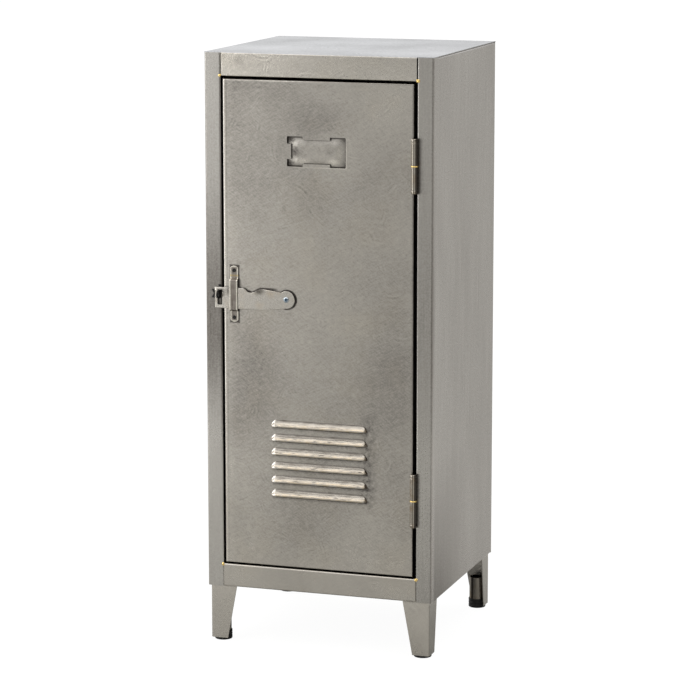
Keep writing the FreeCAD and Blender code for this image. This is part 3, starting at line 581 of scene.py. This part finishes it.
def turned(profile, centre, direction=(0, 0, 1), segments=48):
    """Lathe-turned shape: profile of (radius, height) in mm about an axis through a centre in metres."""
    shape = bmesh.new()
    turn = Vector((0, 0, 1)).rotation_difference(Vector(direction)).to_matrix().to_4x4()
    place = Matrix.Translation(centre) @ turn
    rings = []
    for radius, height in profile:
        count = segments if radius > 0 else 1
        rings.append([shape.verts.new(place @ Vector((radius * MM * math.cos(math.tau * i / segments),
                                                      radius * MM * math.sin(math.tau * i / segments),
                                                      height * MM))) for i in range(count)])
    for low, high in zip(rings, rings[1:]):
        for i in range(segments):
            j = (i + 1) % segments
            corners = [low[i % len(low)], low[j % len(low)], high[j % len(high)], high[i % len(high)]]
            corners = list(dict.fromkeys(corners))
            if len(corners) > 2:
                shape.faces.new(corners)
    bmesh.ops.recalc_face_normals(shape, faces=shape.faces)
    return shape


def rounded(points, radius, steps=4):
    """Profile with its inner corners rounded, as points of (radius, height)."""
    line = [points[0]]
    for before, corner, after in zip(points, points[1:], points[2:]):
        here = Vector(corner)
        arrive, leave = Vector(before) - here, Vector(after) - here
        reach = min(radius, arrive.length / 2, leave.length / 2)
        start, end = here + arrive.normalized() * reach, here + leave.normalized() * reach
        for i in range(steps + 1):
            t = i / steps
            line.append(tuple(start * (1 - t) ** 2 + here * 2 * t * (1 - t) + end * t ** 2))
    return line + [points[-1]]


def scattered(name, places, pattern, finish, size_spread, seed, facing):
    """Copies of a pattern mesh at places, each turned about the facing axis and sized at random,
    by Geometry Nodes, as one plain mesh."""
    tree = bpy.data.node_groups.new(name + "_tree", "GeometryNodeTree")
    sockets = {}
    for label, kind in (("Places", "Geometry"), ("Pattern", "Object"), ("Finish", "Material"),
                        ("Size Spread", "Float"), ("Seed", "Int"), ("Turn", "Vector")):
        sockets[label] = tree.interface.new_socket(label, in_out="INPUT", socket_type="NodeSocket" + kind)
    tree.interface.new_socket("Geometry", in_out="OUTPUT", socket_type="NodeSocketGeometry")
    given = add(tree, "NodeGroupInput").outputs
    copy = add(tree, "GeometryNodeObjectInfo", i0=given["Pattern"])
    spin = add(tree, "FunctionNodeRandomValue", {"data_type": "FLOAT_VECTOR"}, i0=(0, 0, 0), i1=given["Turn"],
               Seed=given["Seed"])
    least = add(tree, MATH, "SUBTRACT", 1.0, given["Size Spread"])
    most = add(tree, MATH, "ADD", 1.0, given["Size Spread"])
    size = add(tree, "FunctionNodeRandomValue", {"data_type": "FLOAT"}, i2=least, i3=most, Seed=given["Seed"])
    copies = add(tree, "GeometryNodeInstanceOnPoints", Points=given["Places"], Instance=copy.outputs["Geometry"],
                 Rotation=spin.outputs["Value"], Scale=size.outputs[1])
    real = add(tree, "GeometryNodeRealizeInstances", Geometry=copies)
    coloured = add(tree, "GeometryNodeSetMaterial", Geometry=real, Material=given["Finish"])
    add(tree, "NodeGroupOutput", i0=coloured)

    stencil = bpy.data.objects.new(name + "_stencil", pattern)
    points = bpy.data.meshes.new(name + "_places")
    points.from_pydata([tuple(place) for place in places], [], [])
    holder = bpy.data.objects.new(name + "_holder", points)
    bpy.context.collection.objects.link(holder)
    modifier = holder.modifiers.new(name, "NODES")
    modifier.node_group = tree
    for label, value in (("Pattern", stencil), ("Finish", finish), ("Size Spread", size_spread), ("Seed", seed),
                         ("Turn", facing)):
        modifier[sockets[label].identifier] = value
    bpy.context.view_layer.update()
    graph = bpy.context.evaluated_depsgraph_get()
    mesh = bpy.data.meshes.new_from_object(holder.evaluated_get(graph))
    for spare in (holder, stencil):
        bpy.data.objects.remove(spare)
    return mesh


# ---------------------------------------------------------------- latch
def scooped_lever():
    """Latch lever whose edge curls forward for the thumb, right of the dip."""
    shape = merged_copy("latch_lever")
    low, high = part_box("latch_lever")
    step = 1.6 * MM
    for axis, start, end in ((0, -0.119, -0.078), (2, low[2], high[2])):
        for i in range(1, int((end - start) / step)):
            at = [0, 0, 0]
            at[axis] = start + i * step
            normal = [0, 0, 0]
            normal[axis] = 1
            bmesh.ops.bisect_plane(shape, geom=shape.verts[:] + shape.edges[:] + shape.faces[:],
                                   plane_co=at, plane_no=normal, dist=1e-6)
    for vertex in shape.verts:
        x, y, z = vertex.co
        side = max(0.0, 1 - ((x + 0.0950) / 0.0150) ** 2) ** 2
        rise = min(1.0, max(0.0, (z - high[2] + 9.5 * MM) / (7.0 * MM)))
        if y < low[1] + 0.6 * MM:
            vertex.co.y -= 1.3 * MM * side * rise ** 2
    made = finished("latch_lever_scooped", as_mesh("latch_lever_scooped", shape), "lever", "latch_steel",
                    ("latch_lever",), crease=50)
    even_faces(made)


def latch():
    """Lever, strap, spacer and staple with eased edges, the strap's clenched rivets with punched
    dimples, and the chromed pivot rivet."""
    scooped_lever()
    eased("latch_strap", 0.65, 4, finish=STRAP)
    eased("latch_spacer", 0.3)
    eased("staple_base", 0.35)
    eased("padlock_staple", 0.45, 3)

    low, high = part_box("strap_rivets")
    head = (high[0] - low[0]) / 2 / MM
    length = (high[1] - low[1]) / MM
    front = length / 2
    profile = [(0, front - 0.5), (0.9, front - 0.45), (1.5, front - 0.15)]
    profile += rounded([(1.7, front - 0.1), (head * 0.8, front - 0.25), (head, front - 1.1)], 0.8)
    profile += [(head, front - 1.3), (1.9, front - 1.35), (1.9, 0.35 - front)]
    profile += rounded([(2.6, 0.35 - front), (2.5, -front), (0, -front)], 0.4)
    pattern = as_mesh("strap_rivet_pattern", turned(profile, (0, 0, 0), (0, -1, 0), 28))
    middle = halfway(low, high)
    places = [(middle[0], middle[1], low[2] + head * MM), (middle[0], middle[1], high[2] - head * MM)]
    mesh = scattered("strap_rivets_domed", places, pattern, FINISH["black_iron"], 0.04, 5, (0, 6.28, 0))
    finished("strap_rivets_domed", mesh, "door", SLOT_OF["strap_rivets"], ("strap_rivets",), FINISH["black_iron"])

    low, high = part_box("latch_pivot_rivet")
    head = (high[0] - low[0]) / 2 / MM
    front = (high[1] - low[1]) / 2 / MM
    profile = [(0, front - 0.9), (0.7, front - 0.85), (1.25, front - 0.2), (1.6, front - 0.02)]
    profile += rounded([(1.8, front), (head * 0.75, front - 0.1), (head, front - 1.1)], 1.2, 6)
    profile += [(head, front - 1.5), (2.9, front - 1.5), (2.9, 0.6 - front)]
    profile += rounded([(3.6, 0.6 - front), (3.5, -front), (0, -front)], 0.5)
    middle = halfway(low, high)
    finished("pivot_rivet_domed", as_mesh("pivot_rivet_domed", turned(profile, middle, (0, -1, 0), 40)), "door",
             "rivet_chrome", ("latch_pivot_rivet",))


# ---------------------------------------------------------------- door
LOUVRE_LIPS = [LOWEST_LIP + i * LOUVRE_PITCH for i in range(6)]
LOUVRE_HALF, LOUVRE_END = 75.0, 8.5      # half a louvre's length, and its domed end, in mm


def end_dome(x_mm, half=LOUVRE_HALF):
    """Share of a louvre's height and reach that is left near its domed end."""
    over = max(0.0, 1 - (half - abs(x_mm)) / LOUVRE_END)
    return max(0.02, max(0.0, 1 - over ** 1.7) ** 0.75)


def dressed_door():
    """Door panel with its outer edges and its card pocket's rim rounded over, and its louvres' ends
    drawn down into domes."""
    shape = merged_copy("door_panel")
    for vertex in shape.verts:
        x, y, z = vertex.co
        share = max(0.2, end_dome((x - LOUVRE_X) / MM, LOUVRE_HALF - 0.8) - 0.08)
        for lip in LOUVRE_LIPS:
            if share < 1 and abs(x - LOUVRE_X) < 74 * MM and 0 < z - lip < 10.7 * MM and y < cad_front + 1.1 * MM:
                vertex.co.z = lip + (z - lip) * share
                if y < cad_front:
                    vertex.co.y = cad_front - (cad_front - y) * share * 0.95
                break
        if abs(x - POCKET_X) < 40 * MM and abs(z - POCKET_Z) < 18 * MM and 1.2 * MM < y - cad_front < 2.0 * MM:
            vertex.co.y = cad_front + 2.6 * MM
    round_over(shape, 0.55, 3, 50,
               lambda edge: all(abs(vertex.co.y - cad_front) < 1e-05
                                and (vertex.co.z > 0.37 or abs(vertex.co.x) > 0.09) for vertex in edge.verts))
    made = finished("door_panel_dressed", as_mesh("door_panel_dressed", shape), "door", "door_steel",
                    ("door_panel",), crease=30)
    even_faces(made)


def pocket_floor():
    """Floor of the card pocket: one smooth swell, from its deep sides to its raised middle."""
    shape = bmesh.new()
    across, rise = 72, 36
    rows = []
    for j in range(rise + 1):
        row = []
        for i in range(across + 1):
            x, z = -44.9 + 89.8 * i / across, -21.9 + 43.8 * j / rise
            swell = 1.0
            for inset, width in ((45 - abs(x), 17.0), (22 - abs(z), 13.0)):
                share = min(inset / width, 1.0)
                swell *= share * share * (3 - 2 * share)
            row.append(shape.verts.new(((x - 2.5) * MM, cad_front + (2.95 - 1.9 * swell) * MM, POCKET_Z + z * MM)))
        rows.append(row)
    for lower, upper in zip(rows, rows[1:]):
        for i in range(across):
            shape.faces.new((lower[i], lower[i + 1], upper[i + 1], upper[i]))
    made = finished("card_pocket_floor", as_mesh("card_pocket_floor", shape), "door", "door_steel")
    thickened(made, 0.3)


def louvre_hoods():
    """Smooth skin over each louvre: a hollow curve off the face, a round crown and a rolled lip."""
    reach, height, blend, crown, slope = 6.12, 10.6, 5.5, 3.6, math.radians(45)
    side = []
    fold = height - 0.5 - blend * math.tan(slope / 2)
    for i in range(9):
        turn = slope * i / 8
        side.append((blend * (1 - math.cos(turn)), height - 0.5 - blend * math.sin(turn)))
    lip_fold = fold - reach / math.tan(slope)
    for i in range(9):
        turn = slope * (1 - i / 8)
        side.append((reach - crown * (1 - math.cos(turn)),
                     lip_fold - crown * math.tan(slope / 2) + crown * math.sin(turn)))
    side.append((reach, 0.6))
    side.append((reach - 0.12, 0.12))
    side.append((reach - 0.5, -0.05))
    along = [LOUVRE_HALF - LOUVRE_END * (1 - math.sin(math.pi / 2 * i / 14)) for i in range(15)]
    along = sorted({round(x, 4) for x in along + [-x for x in along] + [-45, -20, 0, 20, 45]})
    shape = bmesh.new()
    rows = []
    for out, up in side:
        rows.append([shape.verts.new((x * MM, 0.03 * MM - (out * end_dome(x) + 0.06) * MM, up * end_dome(x) * MM))
                     for x in along])
    for upper, lower in zip(rows, rows[1:]):
        for i in range(len(along) - 1):
            shape.faces.new((upper[i], lower[i], lower[i + 1], upper[i + 1]))
    pattern = as_mesh("louvre_pattern", shape)
    mesh = scattered("louvre_hoods", [(LOUVRE_X, cad_front, lip) for lip in LOUVRE_LIPS], pattern, HOOD_PAINTED_LIGHT, 0.0,
                     1, (0, 0, 0))
    made = finished("louvre_hoods", mesh, "door", "door_steel", finish=HOOD_PAINTED_LIGHT, crease=60)
    thickened(made, 0.5)


def hinges():
    """Turned barrels with a rounded cap and a groove, and a swelled brass ring between them."""
    for place in ("upper", "lower"):
        pin_low, pin_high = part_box(f"hinge_{place}_pin")
        bore = (pin_high[0] - pin_low[0]) / 2 / MM + 0.05
        for part, body, up in (("frame_barrel", "cabinet", -1), ("door_barrel", "door", 1)):
            low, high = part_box(f"hinge_{place}_{part}")
            centre = halfway(low, high)
            radius = (high[0] - low[0]) / 2 / MM
            half = (high[2] - low[2]) / 2 / MM
            pin_end = abs((pin_high if up > 0 else pin_low)[2] - centre[2]) / MM + 0.05
            profile = [(0, pin_end), (bore, pin_end), (bore, -half), (radius - 0.3, -half), (radius, 0.4 - half)]
            profile += [(radius, 0.8 - half), (radius, half - 6.4), (radius, half - 6.0),
                        (radius - 0.45, half - 5.6), (radius - 0.45, half - 5.2), (radius, half - 4.8)]
            profile += rounded([(radius, half - 4.4), (radius, half), (0, half)], 2.2, 6)
            name = f"hinge_{place}_{part}_turned"
            shape = turned(profile, centre, (0, 0, up), 56)
            finished(name, as_mesh(name, shape), body, "hinge_steel", (f"hinge_{place}_{part}",), crease=50)
        low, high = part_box(f"hinge_{place}_ring")
        centre = halfway(low, high)
        swell = [(bore - 0.04, -1.15), (4.9, -1.15), (5.4, -0.8), (5.62, 0), (5.4, 0.8), (4.9, 1.15),
                 (bore - 0.04, 1.15), (bore - 0.04, -1.15)]
        shape = turned(swell, centre, (0, 0, 1), 56)
        bmesh.ops.remove_doubles(shape, verts=shape.verts, dist=1e-6)
        name = f"hinge_{place}_ring_swelled"
        finished(name, as_mesh(name, shape), "cabinet", "braze_brass", (f"hinge_{place}_ring",), crease=60)


# ---------------------------------------------------------------- cabinet
def brazed_corners():
    """Lumps of brass that ran out at the corners of the opening, each of its own shape."""
    shape = bmesh.new()
    bmesh.ops.create_icosphere(shape, subdivisions=4, radius=1.0)
    for vertex in shape.verts:
        lump = 1 + 0.38 * field.noise(vertex.co * 1.3 + Vector((3, 1, 7)))
        x, y, z = vertex.co * lump * 2.15 * MM
        vertex.co = (x * 1.1, y * 0.36, z * 0.85)
    pattern = as_mesh("braze_pattern", shape)
    low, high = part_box("corner_brazes")
    inset = 2.3 * MM
    places = [(x, cad_front, z) for x in (low[0] + inset, high[0] - inset) for z in (low[2] + inset,
                                                                                     high[2] - inset)]
    mesh = scattered("brass_brazes", places, pattern, FINISH["braze_brass"], 0.22, 11, (0, 6.28, 0))
    finished("brass_brazes", mesh, "cabinet", "braze_brass", ("corner_brazes",))


def feet():
    """Moulded rubber feet with rounded edges and two shallow ribs, and the eased legs and tubes."""
    profile = [(0, 0)] + rounded([(10.0, 0), (13.2, 0), (13.2, 4.6)], 2.4, 5)
    profile += [(12.8, 5.2), (12.8, 6.0), (13.2, 6.6), (13.2, 8.8), (12.8, 9.4), (12.8, 10.2), (13.2, 10.8)]
    profile += rounded([(13.2, 11.5), (13.2, 14.0), (12.0, 14.0)], 1.0, 3) + [(0, 14.0)]
    pattern = as_mesh("foot_pattern", turned(profile, (0, 0, 0), (0, 0, 1), 48))
    nodes = [name for name in SLOT_OF if name.startswith("rubber_foot")]
    places = []
    for node in nodes:
        low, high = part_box(node)
        places.append(((low[0] + high[0]) / 2, (low[1] + high[1]) / 2, low[2]))
    mesh = scattered("rubber_feet_ribbed", places, pattern, FINISH["foot_rubber"], 0.0, 3, (0, 0, 6.28))
    finished("rubber_feet_ribbed", mesh, "cabinet", "foot_rubber", nodes)
    for name in SLOT_OF:
        if name.startswith("leg_"):
            eased(name, 0.4)


latch()
dressed_door()
pocket_floor()
louvre_hoods()
hinges()
brazed_corners()
feet()


# ---------------------------------------------------------------- studio
def studio_floor():
    """Pale floor; only its soft shadows show in the steel."""
    material, tree, _ = new_material("white_studio_floor")
    paint = add(tree, "ShaderNodeBsdfDiffuse", Color=linear("#A8A8A6"))
    glow = add(tree, "ShaderNodeEmission", Color=linear("#FFFFFF"), Strength=1.12)
    seen = add(tree, "ShaderNodeLightPath").outputs["Is Camera Ray"]
    mixed = add(tree, "ShaderNodeMixShader", i0=product(tree, seen, 0.85), i1=paint, i2=glow)
    add(tree, "ShaderNodeOutputMaterial", Surface=mixed)
    bpy.ops.mesh.primitive_plane_add(size=80.0)
    floor = bpy.context.object
    floor.name = "studio_floor"
    floor.data.materials.append(material)


def softbox(name, place, target, size, watts):
    """Flat lamp at a place, turned to its target."""
    light = bpy.data.lights.new(name, "AREA")
    light.shape = "RECTANGLE"
    light.size, light.size_y = size
    light.energy = watts
    lamp = bpy.data.objects.new(name, light)
    bpy.context.collection.objects.link(lamp)
    lamp.location = place
    lamp.rotation_mode = "QUATERNION"
    lamp.rotation_quaternion = (Vector(target) - Vector(place)).to_track_quat("-Z", "Y")


# brightness of the studio all round, by compass: 0 is the front, minus is the left
STUDIO_WALLS = ((-180, 1.15), (-150, 1.4), (-110, 3.2), (-80, 3.8), (-55, 1.4), (-30, 0.86), (0, 0.58), (28, 0.2),
                (90, 0.1), (115, 0.4), (140, 0.84), (160, 1.0), (180, 1.15))
CEILING = 2.2


def studio_air():
    """White to the camera; the steel reflects the walls by compass and a bright ceiling."""
    world = bpy.data.worlds.new("studio_air")
    bpy.context.scene.world = world
    world.use_nodes = True
    tree = world.node_tree
    tree.nodes.clear()
    way = add(tree, XYZ, None, add(tree, "ShaderNodeTexCoord").outputs["Generated"])
    ahead = product(tree, way.outputs["Y"], -1.0)
    compass = add(tree, MATH, "ARCTAN2", way.outputs["X"], ahead)
    walls = add(tree, "ShaderNodeValToRGB", i0=add(tree, RANGE, None, compass, -math.pi, math.pi))
    stops = walls.color_ramp.elements
    brightest = max(CEILING, *(level for _, level in STUDIO_WALLS))
    while len(stops) < len(STUDIO_WALLS):
        stops.new(0.5)
    for stop, (degrees, level) in zip(stops, STUDIO_WALLS):
        stop.position = (degrees + 180) / 360
        stop.color = [level / brightest] * 3 + [1.0]
    above = add(tree, RANGE, None, way.outputs["Z"], 0.3, 0.85)
    dome = add(tree, "ShaderNodeMix", {"data_type": "RGBA"}, i0=above, i6=walls,
               i7=[CEILING / brightest * c for c in (1.0, 0.985, 0.955)] + [1.0])
    seen = add(tree, "ShaderNodeLightPath").outputs["Is Camera Ray"]
    light = add(tree, "ShaderNodeBackground", Color=dome.outputs[2], Strength=brightest)
    white = add(tree, "ShaderNodeBackground", Color=linear("#FFFFFF"), Strength=1.0)
    mixed = add(tree, "ShaderNodeMixShader", i0=seen, i1=light, i2=white)
    add(tree, "ShaderNodeOutputWorld", Surface=mixed)


def camera():
    """Long lens to the right of the front, looking down a little."""
    data = bpy.data.cameras.new("camera")
    yaw, pitch = math.radians(18.33), math.radians(9.68)
    data.sensor_width = 36.0
    data.lens = 151.24
    data.shift_y = -0.05
    data.clip_end = 200.0
    view = bpy.data.objects.new("camera", data)
    bpy.context.collection.objects.link(view)
    view.location = (1.3751, -4.1571, 1.2269)
    ahead = Vector((-math.sin(yaw) * math.cos(pitch), math.cos(yaw) * math.cos(pitch), -math.sin(pitch)))
    view.rotation_mode = "QUATERNION"
    view.rotation_quaternion = ahead.to_track_quat("-Z", "Y")
    bpy.context.scene.camera = view


studio_floor()
studio_air()
softbox("key_from_the_left", (-0.95, -1.15, 0.5), (-0.05, -0.1, 0.45), (0.5, 1.9), 8)
camera()
bpy.context.scene.view_settings.view_transform = "Standard"
